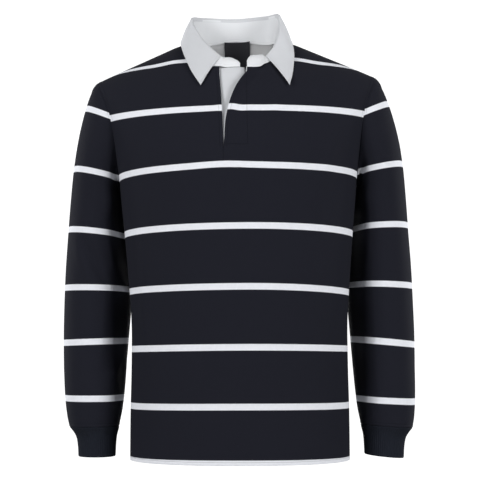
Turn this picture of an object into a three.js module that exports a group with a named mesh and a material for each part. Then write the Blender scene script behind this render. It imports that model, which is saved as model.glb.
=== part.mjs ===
// A long-sleeved rugby shirt, filled out and hollow, as twelve pieces of cloth.
// Millimetres. It faces -Y, hangs along -Z, and the origin is at the base of the neck between
// the shoulders. The wearer's right is -X.
import * as THREE from "three";

const WALL = 1.5; // thickness of every cloth wall
const GAP = 0.4; // left between two pieces at a seam

// The body. Below the underarms it is a stack of rounded rings, above them it closes to a ridge.
const HEM_Z = -750;
const UNDERARM_Z = -258;
const SQUARE = 2.2; // exponent of the rings
const RINGS = [
  // half width, front depth, back depth; evenly spaced from the hem to the underarm
  [194.5, 124, 112],
  [194.3, 126, 113],
  [193, 129, 115],
  [193.5, 132, 117],
  [199.5, 135, 119],
  [206.5, 137, 122],
  [214, 138, 124],
];
const RIDGE_Z = 49.2; // where the two shoulder slopes would meet
const SHOULDER_SLOPE = 0.461;
const SHOULDER_Y = 12; // the shoulder seam lies this far behind the side seams
const RIDGE_BLEND = 35; // how softly the two slopes meet
const UNDERARM_X = 214;
const SHOULDER_X = 254;
const SHOULDER_SPREAD = 61.6; // the body's full form grows this much wider by the ridge
const ARMHOLE_DEPTH = 0.44; // of the body's depth
// How full the body is above the underarms, in depth and in height, at the middle and the side.
const FRONT_ROUND = { depth: [1.21, 2.1], height: [2, 2.1] };
const BACK_ROUND = { depth: [2.7, 2.1], height: [2.7, 2.1] };
const LEAN = 0.021; // radians that the shoulders lean to the wearer's right

// The neck hole, seen from above.
const NECK_HALF = 78;
const NECK_Y = -10.5;
const NECK_REACH = 65.5;
const NECK_SQUARE = 2.8;

// The placket slit, to the wearer's right of the middle.
const SLIT_X = -26;
const SLIT_Z = -215; // where the slit begins
const SLIT_LENGTH = 145;
const SLIT_LEFT = 3; // the fixed edge swings out this far at the neck
const SLIT_RIGHT = 45; // and the flap's edge opens this far the other way
const FLAP_LIFT = 4;
const PLACKET_FOOT_Z = -233;
const UNDER_DEPTH = 3.9; // the under placket lies this deep below the body's surface
const UNDER_LEFT = -34;
const UNDER_RIGHT = 12;
const FACING_SHOWS = 1.6; // white edge beyond the flap
const FACING_WIDTH = 11;
const FACING_WALL = 1.0;

// Sleeve rings: the outer point's x and z, the inner point's x and z, the middle's y, half depth.
const SLEEVE = [
  [254, -69, 214, -258, 6, 47],
  [268, -83, 216, -264, 8, 52],
  [281, -112, 215.5, -273, 12, 57],
  [291, -150, 213, -284, 17, 61],
  [298.5, -190, 210.2, -298, 22, 64],
  [304.5, -235, 207.3, -316, 27, 66],
  [309.5, -290, 204.6, -336, 31, 66.5],
  [314, -350, 202, -366, 33, 66],
  [318, -410, 198.8, -415, 33, 64],
  [320, -470, 199.5, -470, 31, 61],
  [321, -530, 203.5, -530, 28, 58],
  [320, -590, 207, -590, 23, 54],
  [318, -640, 210, -640, 17, 50],
  [314, -674, 213.5, -673, 14, 46],
  [309.5, -693, 216.5, -692, 12, 43],
];
const CAP_ROWS = 4; // the armhole's own form fades out over these rows
const CUFF = [
  [309.3, -693.6, 216.7, -692.6, 12, 42.8],
  [301.5, -703, 219, -702, 11.5, 38],
  [296, -713, 221, -713, 11, 35],
  [293, -728, 222, -728, 10, 33],
  [291.5, -746, 222.5, -746, 9, 32],
];
const CUFF_TILT = -0.1; // slope of the left cuff's lower edge
const CUFF_TILT_FROM = -600;

// The collar, from its wearer's right corner round the back to its left corner:
// angle round the neck from the back in degrees, crest x, y, z, outer edge x, y, z.
const COLLAR = [
  [-165.5, -27, -61, -36, -62.5, -98, -97],
  [-142, -52, -43, -8, -79, -76, -67],
  [-106, -72, -24, 25, -93, -47, -29],
  [-87, -79, -2, 52, -99, -4, 6],
  [-45, -58, 40, 64, -80, 60, 2],
  [0, 0, 58, 66, 0, 92, -2],
  [45, 58, 40, 65, 80, 60, 2],
  [87, 80, -2, 55, 99, -4, 6],
  [104, 80, -24, 22, 105, -43, -28],
  [127, 70, -43, -12, 101, -71, -67],
  [144.4, 53, -60, -38, 93, -97, -99],
];
const FIRST = COLLAR[0][0];
const LAST = COLLAR[COLLAR.length - 1][0];
const FOLD_RADIUS = 3;
const STAND_SHORT = 8.5; // the stand ends this far below the crest
const FALL_BULGE = 2;
const TAB_END_X = 7; // the right tab reaches past the middle
const TAB_UP = [0, 14.5, 21]; // from base to top in front of the collar's corners

// Inside the back of the neck.
const PATCH_ROWS = 3.6; // how many of the back's rows it covers in the middle
const PATCH_WALL = 0.8;
const LABEL_LEFT = -22;
const LABEL_WIDTH = 50;
const LABEL_TOP_Z = 23.5;
const LABEL_HEIGHT = 43;

const COLOURS = {
  navy: 0x262730,
  rib: 0x1f2127,
  white: 0xdcdee2,
  label: 0x323236,
};

// ---- small helpers ----
const mix = (a, b, w) => a + (b - a) * w;
const unmix = (a, b, v) => (v - a) / (b - a);
const clamp = (v, low = 0, high = 1) => Math.min(high, Math.max(low, v));
const ease = (w) => clamp(w) ** 2 * (3 - 2 * clamp(w));
const power = (v, e) => Math.sign(v) * Math.abs(v) ** e;
const add = (a, b, k = 1) => a.map((v, i) => v + k * b[i]);
const between = (a, b, w) => a.map((v, i) => mix(v, b[i], w));
const length = (a) => Math.hypot(...a);
const unit = (a) => a.map((v) => v / (length(a) || 1));
const cross = (a, b) => [
  a[1] * b[2] - a[2] * b[1],
  a[2] * b[0] - a[0] * b[2],
  a[0] * b[1] - a[1] * b[0],
];
const steps = (n) => Array.from({ length: n + 1 }, (_, i) => i / n);

// A smooth curve through a table's rows, at a row number that may have a fraction.
function sample(rows, at) {
  const i = Math.floor(clamp(at, 0, rows.length - 1.000001));
  const w = at - i;
  const [a, b, c, d] = [-1, 0, 1, 2].map((k) => rows[clamp(i + k, 0, rows.length - 1)]);
  return b.map((p, k) => {
    const m = (c[k] - a[k]) / 2;
    const n = (d[k] - p) / 2;
    const e = c[k] - p;
    return p + w * (m + w * (3 * e - 2 * m - n + w * (m + n - 2 * e)));
  });
}

// The value in [low, high] at which a rising test turns true.
function turning(test, low, high) {
  let [a, b] = [low, high];
  for (let i = 0; i < 40; i++) {
    const middle = (a + b) / 2;
    if (test(middle)) b = middle;
    else a = middle;
  }
  return (a + b) / 2;
}

// The whole shirt leans a little, more towards the shoulders.
function lean([x, y, z]) {
  const high = Math.max(0, (z - HEM_Z) / -HEM_Z);
  return [x - 0.5 * LEAN * high * (z - HEM_Z), y, z + LEAN * high * x];
}

// ---- the body's surface ----
const ridgeZ = (x) => RIDGE_Z - SHOULDER_SLOPE * Math.hypot(x, RIDGE_BLEND);
const fullness = (facing, x) => {
  const { depth, height } = facing < 0 ? FRONT_ROUND : BACK_ROUND;
  const w = (x / SHOULDER_X) ** 2;
  return { depth: 2 / mix(...depth, w), height: 2 / mix(...height, w) };
};
const rimDepth = (level) =>
  ARMHOLE_DEPTH * Math.sqrt(Math.sin(Math.min(1, level * 2) * (Math.PI / 2)));
const rimAngle = (level) => Math.acos(rimDepth(level) ** (SQUARE / 2));
const across = (angle) => power(Math.sin(angle), 2 / SQUARE);
const halfWidth = (level) => UNDERARM_X + SHOULDER_SPREAD * Math.sin((level * Math.PI) / 2) ** 1.2;
const rimX = (level) => halfWidth(level) * across(rimAngle(level));

// A point of the front (facing -1) or back (facing 1). The level runs from -1 at the hem, past 0
// at the underarm, to 1 at the shoulder ridge; side runs from -1 to 1 across the ring.
function bodyPoint(facing, side, level) {
  const depth = (1 - Math.min(1, Math.abs(side)) ** SQUARE) ** (1 / SQUARE);
  if (level <= 0) {
    const [half, front, back] = sample(RINGS, (level + 1) * (RINGS.length - 1));
    const reach = facing < 0 ? front : back;
    return [half * side, facing * reach * depth, mix(HEM_Z, UNDERARM_Z, level + 1)];
  }
  const [, front, back] = RINGS[RINGS.length - 1];
  const x = halfWidth(level) * side;
  const full = fullness(facing, x);
  const turn = (level * Math.PI) / 2;
  const left = Math.max(0, Math.cos(turn)) ** full.depth;
  const y = SHOULDER_Y * (1 - left) + facing * (facing < 0 ? front : back) * depth * left;
  return [x, y, UNDERARM_Z + (ridgeZ(x) - UNDERARM_Z) * Math.sin(turn) ** full.height];
}

// The { side, level } of the body's surface at a place in plan, above the underarms.
function placeAt(x, y) {
  const facing = y < SHOULDER_Y ? -1 : 1;
  const sideAt = (level) => clamp(x / halfWidth(level), -1, 1);
  const past = (level) => facing * (bodyPoint(facing, sideAt(level), level)[1] - y) < 0;
  const level = turning(past, 0.001, 1);
  return { side: sideAt(level), level };
}

// The neck hole's edge: 0 degrees at the back, 90 to the wearer's left, 180 in front.
const radians = (degrees) => (degrees * Math.PI) / 180;
const neckPlan = (angle) => [
  NECK_HALF * power(Math.sin(radians(angle)), 2 / NECK_SQUARE),
  NECK_Y + NECK_REACH * power(Math.cos(radians(angle)), 2 / NECK_SQUARE),
];
const round = (v) => power(v, NECK_SQUARE / 2);
const neckAngle = (x, y) =>
  Math.atan2(round(x / NECK_HALF), round((y - NECK_Y) / NECK_REACH)) / radians(1);
const inFrontAt = (x) =>
  Math.sign(x) * (180 - Math.asin(round(Math.abs(x) / NECK_HALF)) / radians(1));
const opening = (z) => clamp((z - SLIT_Z) / SLIT_LENGTH);
const slitLeft = (z) => SLIT_X - SLIT_LEFT * opening(z) ** 2;
const slitRight = (z) => SLIT_X + SLIT_RIGHT * opening(z) ** 2.6;

// The flap stands off the chest near its edge at the neck.
function lifted(point) {
  const open = opening(point[2]);
  const near = clamp(1 - (point[0] - slitRight(point[2])) / 60);
  return add(point, [0, -1, 0], FLAP_LIFT * open * ease(near));
}

// ---- meshes ----
// Thickens a surface of quads into one closed wall. inward(i) may give a vertex its own inner
// direction; elsewhere it is the surface's normal.
function cloth(name, colour, points, quads, inward = () => null, wall = WALL) {
  const normals = points.map(() => [0, 0, 0]);
  for (const q of quads) {
    const [a, b, c, d] = q.map((i) => points[i]);
    const n = cross(add(c, a, -1), add(d, b, -1));
    for (const i of q) normals[i] = add(normals[i], n);
  }
  const under = points.map((p, i) => add(p, inward(i) || unit(normals[i]).map((v) => -v), wall));
  const all = [...points, ...under];
  const size = points.length;
  const faces = [];
  const apart = (i, j) => length(add(all[i], all[j], -1));
  const quad = (a, b, c, d) => {
    if (apart(a, c) < apart(b, d)) faces.push(a, b, c, a, c, d);
    else faces.push(b, c, d, b, d, a);
  };
  const edges = new Map();
  for (const [a, b, c, d] of quads) {
    quad(a, b, c, d);
    quad(a + size, d + size, c + size, b + size);
    for (const [i, j] of [[a, b], [b, c], [c, d], [d, a]]) edges.set(`${i},${j}`, [i, j]);
  }
  for (const [i, j] of edges.values())
    if (!edges.has(`${j},${i}`)) quad(j, i, i + size, j + size);
  const geometry = new THREE.BufferGeometry();
  geometry.setAttribute("position", new THREE.Float32BufferAttribute(all.map(lean).flat(), 3));
  geometry.setIndex(faces);
  geometry.computeVertexNormals();
  const material = new THREE.MeshStandardMaterial({ color: colour, roughness: 0.9, metalness: 0 });
  const mesh = new THREE.Mesh(geometry, material);
  mesh.name = name;
  return mesh;
}

// The quads of a grid whose point numbers at(i, j) run with i across and j up, seen from outside.
function grid(columns, rows, at, flip = false) {
  const quads = [];
  for (let i = 0; i < columns; i++)
    for (let j = 0; j < rows; j++) {
      const q = [at(i, j), at(i + 1, j), at(i + 1, j + 1), at(i, j + 1)];
      quads.push(flip ? q.reverse() : q);
    }
  return quads;
}

// Rows of points, each as long as the others, as one sheet.
function sheet(name, colour, rows, options = {}) {
  const wide = rows[0].length;
  const columns = options.round ? wide : wide - 1;
  const at = (i, j) => j * wide + (i % wide);
  const quads = grid(columns, rows.length - 1, at, options.flip);
  const inward = options.inward && ((i) => options.inward(i % wide, Math.floor(i / wide)));
  return cloth(name, colour, rows.flat(), quads, inward, options.wall);
}

// ---- body panels ----
const SLIT_LEVEL = turning((v) => bodyPoint(-1, 0, v)[2] > SLIT_Z, 0, 1);
const LOW_LEVELS = steps(7).map((w) => w - 1);
const ARM_LEVELS = [0.02, 0.08, SLIT_LEVEL];
const SLIT_ROW = LOW_LEVELS.length + ARM_LEVELS.length - 1;
const UNDERARM_ROW = LOW_LEVELS.length - 1;
const HIGH_ROWS = 9;
const TOP_ROW = SLIT_ROW + HIGH_ROWS;
const levelsTo = (top) => [
  ...LOW_LEVELS,
  ...ARM_LEVELS,
  ...steps(HIGH_ROWS).slice(1).map((w) => mix(SLIT_LEVEL, top, w)),
];

const sideOf = (x, level) => {
  const half = level <= 0 ? sample(RINGS, (level + 1) * (RINGS.length - 1))[0] : halfWidth(level);
  return x / half;
};
const angleOf = (side) => Math.asin(power(side, SQUARE / 2));
const limit = (level) => (level <= 0 ? Math.PI / 2 : rimAngle(level));

// Where the neck hole meets the shoulder seam.
const CORNER_X =
  NECK_HALF * (1 - ((SHOULDER_Y - NECK_Y) / NECK_REACH) ** NECK_SQUARE) ** (1 / NECK_SQUARE);
const CORNER = neckAngle(CORNER_X, SHOULDER_Y);

// The inner direction of the body's wall at a place.
function wallInward(facing, side, level) {
  const small = 0.004;
  const point = bodyPoint(facing, side, level);
  const wide = add(bodyPoint(facing, side + small, level), point, -1);
  const high = add(bodyPoint(facing, side, level - small), point, -1);
  return unit(cross(wide, high)).map((v) => -facing * v);
}

// The inner direction along the armhole, shared with the sleeve so that their rims are parallel.
const ARMHOLE_MIDDLE = [3, -160];
const armholeInward = ([, y, z]) => unit([0, ARMHOLE_MIDDLE[0] - y, ARMHOLE_MIDDLE[1] - z]);

// The inner direction along the shoulder seam, which tips towards the neck hole at its corner.
const seamInward = (x) =>
  Math.abs(x) < CORNER_X + 1 ? [-0.5 * Math.sign(x), 0, -0.87] : [0, 0, -1];

// One column of a panel from hem to top, as { point, inward } for each row. angleAt gives its
// angle across the ring at each level, and bends towards the top's own place.
function column(facing, angleAt, top, atRim = false, finish = (point) => point) {
  const shift = angleOf(top.side) - angleAt(top.level);
  return levelsTo(top.level).map((level, row) => {
    const bend = clamp(level / top.level) ** 2;
    const side = across(angleAt(level) + shift * bend);
    const place = bodyPoint(facing, side, level);
    const point = finish(add(place, [0, facing * GAP * 0.5, 0]));
    const last = row === TOP_ROW;
    const inward =
      atRim && row < UNDERARM_ROW ? [-Math.sign(place[0]), 0, 0]
      : atRim ? armholeInward(place)
      : last && top.level === 1 ? seamInward(place[0])
      : last ? wallInward(facing, side, level)
      : null;
    return { point, inward };
  });
}

// The tops of a panel's columns: along the shoulder seam, then round the neck to the last angle.
const SHOULDER_COLUMNS = 6;
function topsTo(facing, hand, stops) {
  const seam = steps(SHOULDER_COLUMNS).map((w) => {
    const x = mix(rimX(1), CORNER_X, w);
    return { side: (hand * x) / halfWidth(1), level: 1 };
  });
  const neck = stops.flatMap(([angle, count], i) => {
    const from = i ? stops[i - 1][0] : CORNER;
    return steps(count).slice(1).map((w) => placeAt(...neckPlan(hand * mix(from, angle, w))));
  });
  return [...seam, ...neck];
}

function frontColumns() {
  const middleZ = (level) => bodyPoint(-1, 0, level)[2];
  const edgeAt = (level, of) => angleOf(sideOf(of(middleZ(level)), level));
  const half = (hand, of, stops, finish) => {
    const tops = topsTo(-1, hand, stops);
    return tops.map((top, i) => {
      const c = (i / (tops.length - 1)) ** 0.9;
      return column(-1, (v) => mix(hand * limit(v), edgeAt(v, of), c), top, i === 0, finish);
    });
  };
  const right = [[140, 4], [inFrontAt(-slitLeft(0)), 2]];
  const left = [[LAST, 4], [inFrontAt(slitRight(0)), 2]];
  return [half(-1, slitLeft, right), half(1, slitRight, left, lifted).reverse()];
}

function backColumns() {
  const half = topsTo(1, 1, [[0, 6]]);
  const mirrored = half.slice(0, -1).reverse().map(({ side, level }) => ({ side: -side, level }));
  const tops = [...half, ...mirrored];
  return tops.map((top, i) => {
    const c = i / (tops.length - 1);
    return column(1, (v) => mix(limit(v), -limit(v), c), top, c === 0 || c === 1);
  });
}

const FRONT = frontColumns();
const BACK = backColumns();

function bodyPanel(name, columns, quads) {
  const cells = columns.flat();
  return cloth(name, COLOURS.navy, cells.map((c) => c.point), quads, (n) => cells[n].inward);
}

function bodyFront() {
  const [left, right] = FRONT;
  const rows = TOP_ROW + 1;
  const quads = [
    ...grid(left.length - 1, TOP_ROW, (i, j) => i * rows + j),
    ...grid(right.length - 1, TOP_ROW, (i, j) =>
      i === 0 && j <= SLIT_ROW ? (left.length - 1) * rows + j : (left.length + i) * rows + j,
    ),
  ];
  return bodyPanel("body_front", [...left, ...right], quads);
}

function bodyBack() {
  const quads = grid(BACK.length - 1, TOP_ROW, (i, j) => i * (TOP_ROW + 1) + j);
  return bodyPanel("body_back", BACK, quads);
}

// ---- sleeves and cuffs ----
// The armhole's points from the shoulder down the front and up the back, with their ring angles.
function armhole() {
  const levels = levelsTo(1).slice(UNDERARM_ROW);
  const end = levels.length - 1;
  const at = (facing, level) => {
    const { height } = fullness(facing, rimX(level));
    const down = Math.acos(clamp(2 * Math.sin((level * Math.PI) / 2) ** height - 1, -1, 1));
    const point = bodyPoint(facing, across(rimAngle(level)), level);
    return { point, angle: facing < 0 ? down : 2 * Math.PI - down };
  };
  const front = levels.map((v, i) => at(-1, levels[end - i]));
  const back = levels.map((v) => at(1, v));
  return [...front, ...back.slice(1, -1)];
}

function ringPoint([outX, outZ, inX, inZ, y, depth], angle) {
  const c = power(Math.cos(angle), 2 / 2.1);
  const s = power(Math.sin(angle), 2 / 2.1);
  return [mix(inX, outX, (1 + c) / 2), y - depth * s, mix(inZ, outZ, (1 + c) / 2)];
}

// Turns a tube's points, made for the wearer's left, into those of the side asked for.
function forHand(hand, [x, y, z]) {
  const low = Math.max(0, CUFF_TILT_FROM - z) / (CUFF_TILT_FROM - HEM_Z);
  return [hand * x, y, hand > 0 ? z + CUFF_TILT * low * (x - 262) : z];
}

function tube(name, colour, table, positions, hand, first) {
  const loop = armhole();
  const rows = positions.map((at) =>
    loop.map(({ angle }, k) => forHand(hand, first(ringPoint(sample(table, at), angle), at, k))),
  );
  const middles = rows.map((row) => row.reduce((a, b) => add(a, b)).map((v) => v / row.length));
  return sheet(name, colour, rows, {
    round: true,
    flip: hand < 0,
    inward: (i, j) => {
      const own = unit(add(middles[j], rows[j][i], -1));
      return first.inward ? first.inward(own, rows[j][i], j) : own;
    },
  });
}

function sleeve(name, hand) {
  const loop = armhole();
  const shape = (point, at, k) => {
    const start = ringPoint(SLEEVE[0], loop[k].angle);
    const fade = 1 - ease(at / CAP_ROWS);
    const own = add(point, add(loop[k].point, start, -1), fade);
    return add(own, [GAP * 0.75 * fade, 0, 0]);
  };
  shape.inward = (own, point, row) => {
    const share = [1, 0.4][row] || 0;
    return share ? unit(add(own.map((v) => v * (1 - share)), armholeInward(point), share)) : own;
  };
  const positions = [0, 0.5, 1, 1.7, 2.5, 3.5, 4.6, 6, 7.5, 9, 10.5, 12, 13, 14];
  return tube(name, COLOURS.navy, SLEEVE, positions, hand, shape);
}

const cuff = (name, hand) =>
  tube(name, COLOURS.rib, CUFF, [0, 1, 2, 4], hand, (point) => point);

// ---- collar ----
// A table row for an angle, with the fall's outward direction in plan.
function collarRow(angle) {
  const near = clamp(angle, FIRST, LAST);
  const next = Math.max(1, COLLAR.findIndex((row) => row[0] >= near));
  const row = sample(COLLAR, next - 1 + unmix(COLLAR[next - 1][0], COLLAR[next][0], near));
  const [top, edge] = [row.slice(1, 4), row.slice(4, 7)];
  return { top, edge, out: unit([edge[0] - top[0], edge[1] - top[1], 0]) };
}

// The neck edge from the right tab's end round the back to the flap: { angle, point, inward }.
function neckEdge() {
  const tops = (columns, from, to) => columns.slice(from, to).map((c) => c[TOP_ROW]);
  const [left, right] = FRONT;
  const flap = tops(right, 0, right.length - SHOULDER_COLUMNS);
  const fixed = tops(left, SHOULDER_COLUMNS, left.length);
  const back = tops(BACK, SHOULDER_COLUMNS + 1, BACK.length - SHOULDER_COLUMNS - 1);
  const tab = steps(4).slice(0, -1).map((w) => {
    const x = mix(TAB_END_X, fixed[fixed.length - 1].point[0], w);
    const { side, level } = placeAt(...neckPlan(inFrontAt(x)));
    const inward = wallInward(-1, side, level);
    return { point: add(bodyPoint(-1, side, level), inward, UNDER_DEPTH), inward };
  });
  const cells = [...tab, ...fixed.reverse(), ...back.reverse(), ...flap.reverse()];
  return cells.map(({ point, inward }, i) => {
    const angle = neckAngle(point[0], point[1]);
    return { point, inward, angle: i < tab.length ? -181 - tab.length + i : angle };
  });
}

const NECK_EDGE = neckEdge();
const inFall = (angle) => angle > FIRST - 2 && angle < LAST + 2;

// The stand's top: the crest moved inside the fold, or straight up beyond the fall's corners.
function standTop({ angle, point }) {
  if (!inFall(angle)) return add(point, TAB_UP);
  const { top, out } = collarRow(angle);
  return add(top, out, WALL - FOLD_RADIUS);
}

const standUp = (cell) => unit(add(standTop(cell), cell.point, -1));

function stand() {
  const last = NECK_EDGE.length - 1;
  const rows = [0, 0.5, 1].map((h) =>
    NECK_EDGE.map((cell, i) => {
      const full = length(add(standTop(cell), cell.point, -1));
      const height = inFall(cell.angle) ? full - STAND_SHORT : full;
      const end = i === 0 || i === last ? 0.7 : 1;
      return add(cell.point, standUp(cell), mix(2 * GAP, height * end, h));
    }),
  );
  const inward = (i, j) => {
    if (j === 0) return NECK_EDGE[i].inward;
    const { angle } = NECK_EDGE[i];
    return j === 2 && inFall(angle) ? collarRow(angle).out.map((v) => -v) : null;
  };
  return sheet("collar_stand", COLOURS.white, rows, { flip: true, inward });
}

function fall() {
  const cells = NECK_EDGE.filter(({ angle }) => inFall(angle));
  const down = [-1, 0, 0.25, 0.5, 0.75, 1, 1.33, 1.66, 2];
  const rows = down.map((w) =>
    cells.map((cell) => {
      const { top, edge, out } = collarRow(cell.angle);
      const up = standUp(cell);
      const middle = add(top, up, -FOLD_RADIUS);
      if (w < 0) return add(add(middle, out, -FOLD_RADIUS), up, FOLD_RADIUS - STAND_SHORT + 2 * GAP);
      if (w <= 1) {
        const turn = w * Math.PI;
        const rim = add(middle, out, -FOLD_RADIUS * Math.cos(turn));
        return add(rim, up, FOLD_RADIUS * Math.sin(turn));
      }
      const start = add(middle, out, FOLD_RADIUS);
      return add(between(start, edge, w - 1), out, FALL_BULGE * Math.sin((w - 1) * Math.PI));
    }),
  );
  const inward = (i, j) => (j === 0 ? collarRow(cells[i].angle).out : null);
  return sheet("collar_fall", COLOURS.white, rows, { inward });
}

// ---- the small pieces under the front and inside the neck ----
// A patch of the body's surface, from rows of [side, level], moved inwards by depth.
function patch(name, colour, facing, rows, depth, wall) {
  const moved = rows.map((row) =>
    row.map(([side, level]) =>
      add(bodyPoint(facing, side, level), wallInward(facing, side, level), depth),
    ),
  );
  return sheet(name, colour, moved, { wall, flip: facing > 0 });
}
const turned = (columns) => columns[0].map((_, j) => columns.map((c) => c[j]));
const FOOT_LEVEL = turning((v) => bodyPoint(-1, 0, v)[2] > PLACKET_FOOT_Z, 0, 1);

function placketUnder() {
  const columns = steps(4).map((c) => {
    const x = mix(UNDER_LEFT, UNDER_RIGHT, c);
    const top = placeAt(...neckPlan(inFrontAt(x))).level;
    return steps(9).map((w) => mix(FOOT_LEVEL, top, w)).map((level) => [sideOf(x, level), level]);
  });
  return patch("placket_under", COLOURS.white, -1, turned(columns), UNDER_DEPTH, WALL);
}

function placketFacing() {
  const [, right] = FRONT;
  const rows = steps(11).map((w) => {
    const j = mix(SLIT_ROW - 0.2, TOP_ROW - 0.15, w);
    const [edge, next] = [0, 1].map((i) => sample(right[i].map((cell) => cell.point), j));
    const open = opening(edge[2]);
    const along = unit(add(next, edge, -1));
    return [-FACING_SHOWS * open, FACING_WIDTH / 2, FACING_WIDTH].map((d) => add(edge, along, d));
  });
  const moved = rows.map((row) => row.map((point) => add(point, [0, 0.85, -0.5], WALL + 2 * GAP)));
  return sheet("placket_facing", COLOURS.white, moved, { wall: FACING_WALL });
}

// The back's own columns inside the neck, shortened to a half moon and moved inwards.
function neckPatch() {
  const inner = BACK.slice(SHOULDER_COLUMNS + 2, BACK.length - SHOULDER_COLUMNS - 2);
  const columns = inner.map((cells, i) => {
    const c = (2 * i) / (inner.length - 1) - 1;
    const drop = PATCH_ROWS * Math.sqrt(1 - (0.96 * c) ** 2);
    return steps(4).map((w) => {
      const j = TOP_ROW - 0.1 - drop * (1 - w);
      const at = (k) => cells[Math.min(TOP_ROW, Math.floor(j) + k)].point;
      return between(at(0), at(1), j - Math.floor(j));
    });
  });
  const rows = turned(columns);
  const moved = rows.map((row) => row.map((p) => add(p, [0, -0.75, -0.66], WALL + 3 * GAP)));
  return sheet("neck_patch", COLOURS.white, moved, { wall: PATCH_WALL });
}

function neckLabel() {
  const columns = steps(3).map((c) => {
    const x = mix(LABEL_LEFT, LABEL_LEFT + LABEL_WIDTH, c);
    const z = (v) => bodyPoint(1, sideOf(x, v), v)[2];
    return steps(4)
      .map((w) => mix(LABEL_TOP_Z - LABEL_HEIGHT, LABEL_TOP_Z, w))
      .map((height) => turning((v) => z(v) > height, 0.05, 1))
      .map((level) => [sideOf(x, level), level]);
  });
  const depth = WALL + PATCH_WALL + 6 * GAP;
  return patch("neck_label", COLOURS.label, 1, turned(columns), depth, PATCH_WALL);
}

const shirt = new THREE.Group();
shirt.name = "rugby_shirt";
shirt.add(
  bodyFront(),
  bodyBack(),
  sleeve("sleeve_right", -1),
  sleeve("sleeve_left", 1),
  cuff("cuff_right", -1),
  cuff("cuff_left", 1),
  stand(),
  fall(),
  placketUnder(),
  placketFacing(),
  neckPatch(),
  neckLabel(),
);

export default shirt;
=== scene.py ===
"""A long-sleeved rugby shirt, filled out and hollow: its cloth, its seams and its finish."""

import math

import bpy
import numpy as np
from bpy.props import FloatProperty, FloatVectorProperty, PointerProperty
from bpy.types import Operator, Panel, PropertyGroup
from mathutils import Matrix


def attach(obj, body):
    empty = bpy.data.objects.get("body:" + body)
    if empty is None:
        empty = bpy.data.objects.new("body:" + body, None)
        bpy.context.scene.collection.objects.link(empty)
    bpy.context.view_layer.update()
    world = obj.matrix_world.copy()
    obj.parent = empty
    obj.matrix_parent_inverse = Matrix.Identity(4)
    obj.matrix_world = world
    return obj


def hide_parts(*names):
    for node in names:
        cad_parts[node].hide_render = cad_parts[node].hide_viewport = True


bl_info = {
    "name": "Rugby Shirt",
    "version": (1, 0, 0),
    "blender": (4, 5, 0),
    "location": "3D View > Sidebar > Rugby Shirt",
    "description": "Cloth, stripes, collar, cuffs and studio of a filled-out rugby shirt",
    "category": "Object",
}

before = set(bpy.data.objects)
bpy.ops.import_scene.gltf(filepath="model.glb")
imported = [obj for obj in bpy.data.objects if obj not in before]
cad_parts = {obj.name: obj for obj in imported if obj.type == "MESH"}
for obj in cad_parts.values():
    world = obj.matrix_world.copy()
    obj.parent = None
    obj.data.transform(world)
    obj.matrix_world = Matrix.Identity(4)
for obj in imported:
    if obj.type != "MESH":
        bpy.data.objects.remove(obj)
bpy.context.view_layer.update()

MM = 0.001

# ---- sizes, in millimetres, the same as the frame's ----
HEM_Z = -750.0
UNDERARM_Z = -258.0
SQUARE = 2.2
RINGS = [  # half width, front depth, back depth; evenly spaced from the hem to the underarm
    [194.5, 124, 112],
    [194.3, 126, 113],
    [193, 129, 115],
    [193.5, 132, 117],
    [199.5, 135, 119],
    [206.5, 137, 122],
    [214, 138, 124],
]
RIDGE_Z = 49.2
SHOULDER_SLOPE = 0.461
SHOULDER_Y = 12.0
RIDGE_BLEND = 35.0
UNDERARM_X = 214.0
SHOULDER_X = 254.0
SHOULDER_SPREAD = 61.6
ARMHOLE_DEPTH = 0.44
FRONT_ROUND = {"depth": (1.21, 2.1), "height": (2.0, 2.1)}
BACK_ROUND = {"depth": (2.7, 2.1), "height": (2.7, 2.1)}
LEAN = 0.021

NECK_HALF = 78.0
NECK_Y = -10.5
NECK_REACH = 65.5
NECK_SQUARE = 2.8

SLIT_X = -24.5
SLIT_Z = -215.0
SLIT_LENGTH = 145.0
SLIT_LEFT = 5.5
SLIT_RIGHT = 43.5
FLAP_LIFT = 4.0
PLACKET_FOOT_Z = -233.0
FLAP_REACH = 60.0  # how far from its free edge the flap stands off the chest
FLAP_ROW_X = 17.0  # the row of stitching down the flap, and where it starts and ends
FLAP_ROW_TOP = -62.0
FLAP_ROW_FOOT = -209.0
UNDER_DEPTH = 3.9
UNDER_LEFT = -34.0
UNDER_RIGHT = 15.0

SLEEVE = [  # outer x, outer z, inner x, inner z, middle y, half depth
    [254, -69, 214, -258, 6, 47],
    [268, -83, 216, -264, 8, 52],
    [281, -112, 215.5, -273, 12, 57],
    [291, -150, 213, -284, 17, 61],
    [298.5, -190, 210.2, -298, 22, 64],
    [304.5, -235, 207.3, -316, 27, 66],
    [309.5, -290, 204.6, -336, 31, 66.5],
    [314, -350, 202, -366, 33, 66],
    [318, -410, 198.8, -415, 33, 64],
    [320, -470, 199.5, -470, 31, 61],
    [321, -530, 203.5, -530, 28, 58],
    [320, -590, 207, -590, 23, 54],
    [318, -640, 210, -640, 17, 50],
    [314, -674, 213.5, -673, 14, 46],
    [309.5, -693, 216.5, -692, 12, 43],
]
CAP_ROWS = 4.0
CUFF = [
    [309.3, -693.6, 216.7, -692.6, 12, 42.8],
    [301.5, -703, 219, -702, 11.5, 38],
    [296, -713, 221, -713, 11, 35],
    [293, -728, 222, -728, 10, 33],
    [291.5, -746, 222.5, -746, 9, 32],
]
CUFF_TILT = -0.1
CUFF_TILT_FROM = -600.0

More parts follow.
